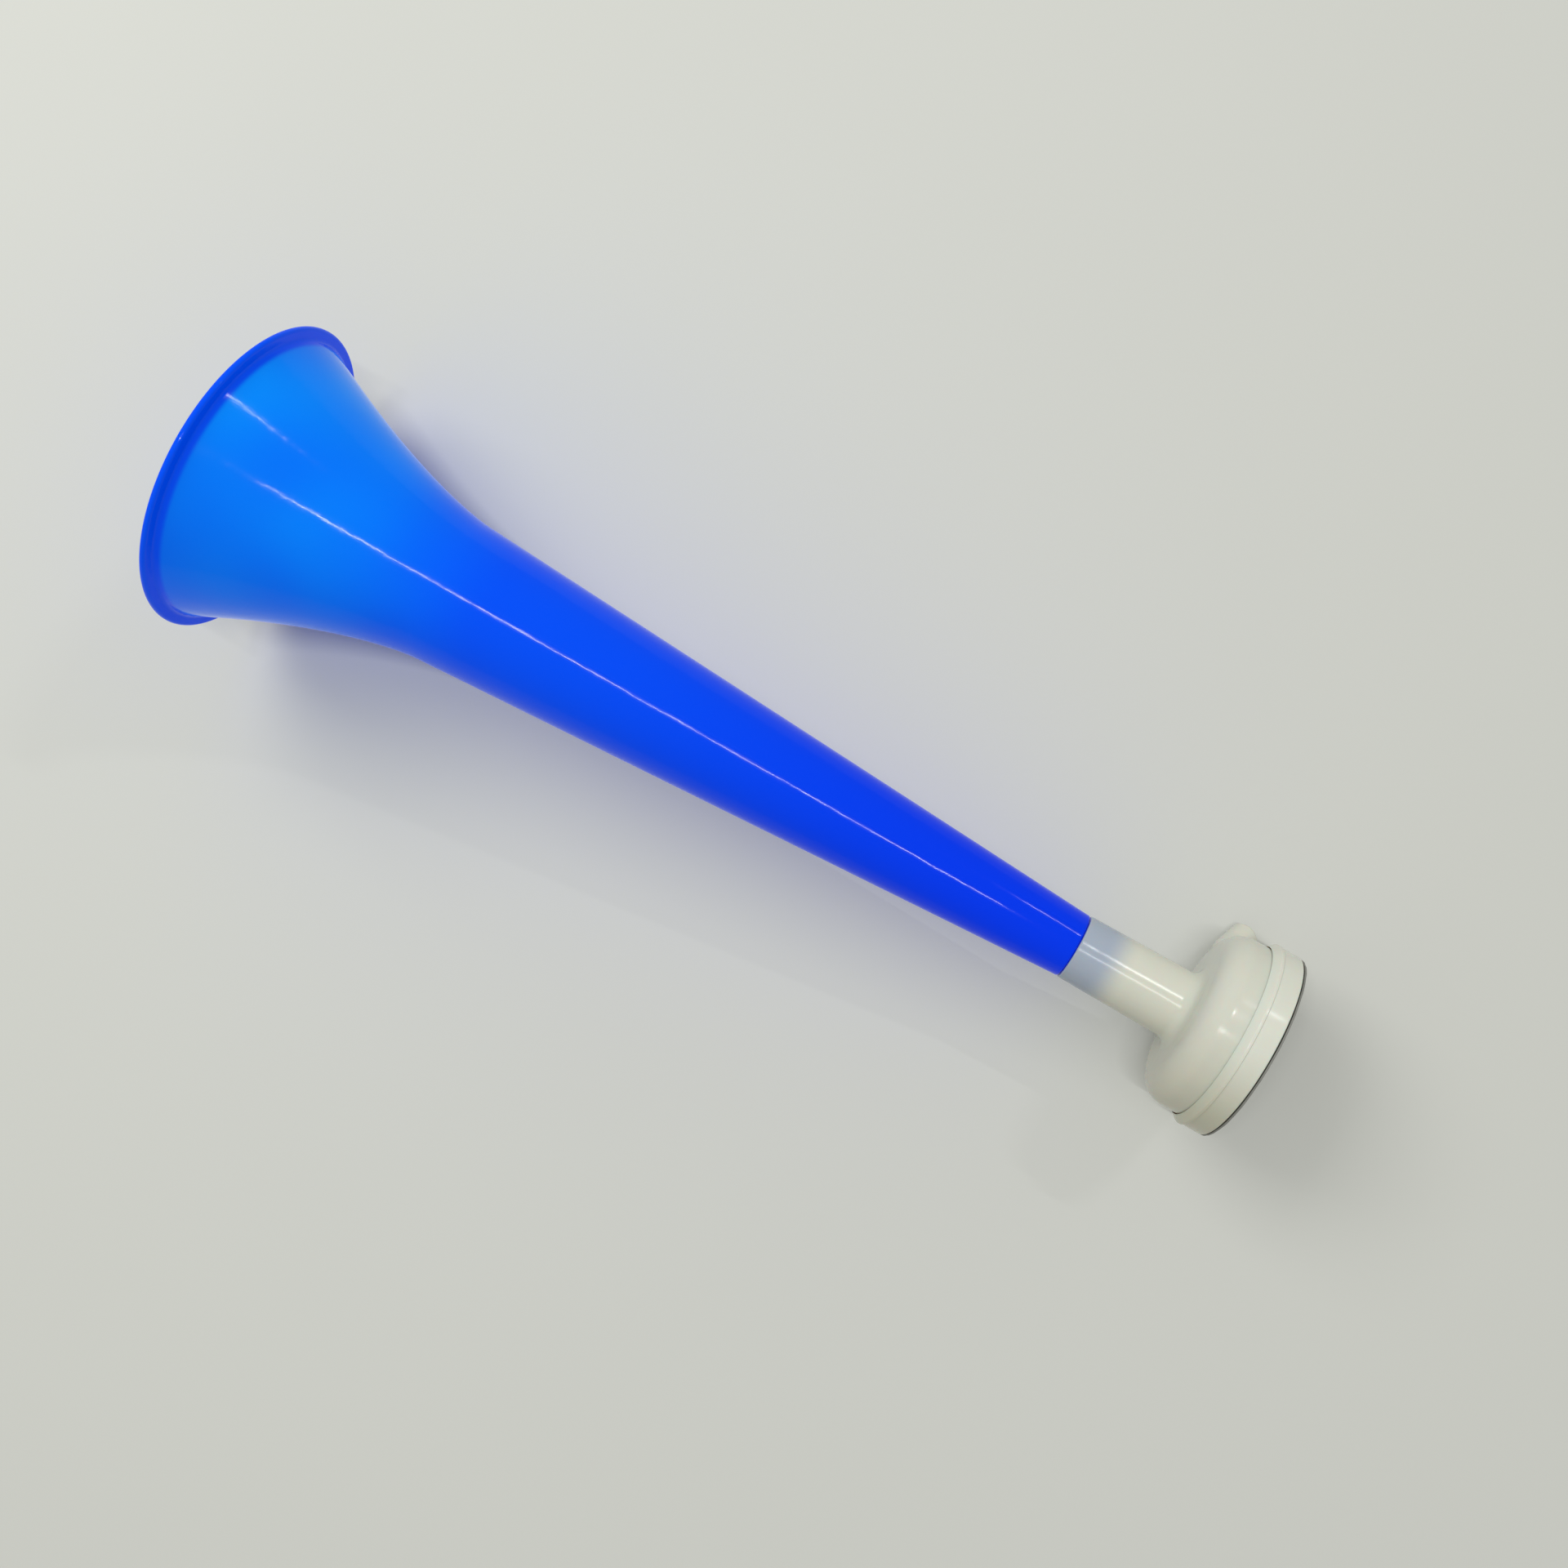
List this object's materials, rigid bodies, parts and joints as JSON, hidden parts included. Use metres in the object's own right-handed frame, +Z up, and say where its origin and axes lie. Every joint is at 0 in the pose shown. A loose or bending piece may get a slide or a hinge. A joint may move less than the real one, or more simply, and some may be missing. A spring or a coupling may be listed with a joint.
{
  "type": "stadium horn",
  "caption": "Hand-held membrane horn: a flared bell plugs into a sound head with a side blow spout, a pressure chamber and a film held by a cap ring; shown lying on its side.",
  "frame": {"origin": "on the floor, under the middle of the lying horn's bounding box", "axes": "+X from the bell's mouth to the sound head along the floor, +Y the side that the spout points to, +Z up; the horn's own axis slopes down 3.6 degrees towards +X"},
  "size_m": [0.3239, 0.094, 0.0938],
  "materials": {
    "bell_plastic": "gloss",
    "head_plastic": "satin gloss, milky",
    "ring_plastic": "satin gloss, milky",
    "film": "matte"
  },
  "bodies": {
    "bell": {"bell": "bell_plastic"},
    "head": {"head_body": "head_plastic"},
    "cap": {"cap_ring": "ring_plastic", "membrane": "film"}
  },
  "joints": [
    {"name": "head_pull", "type": "slide", "parent": "bell", "child": "head", "axis": [0.998, 0, -0.0627], "range_m": [0, 0.02]},
    {"name": "cap_pull", "type": "slide", "parent": "head", "child": "cap", "axis": [0.998, 0, -0.0627], "range_m": [0, 0.012]}
  ]
}
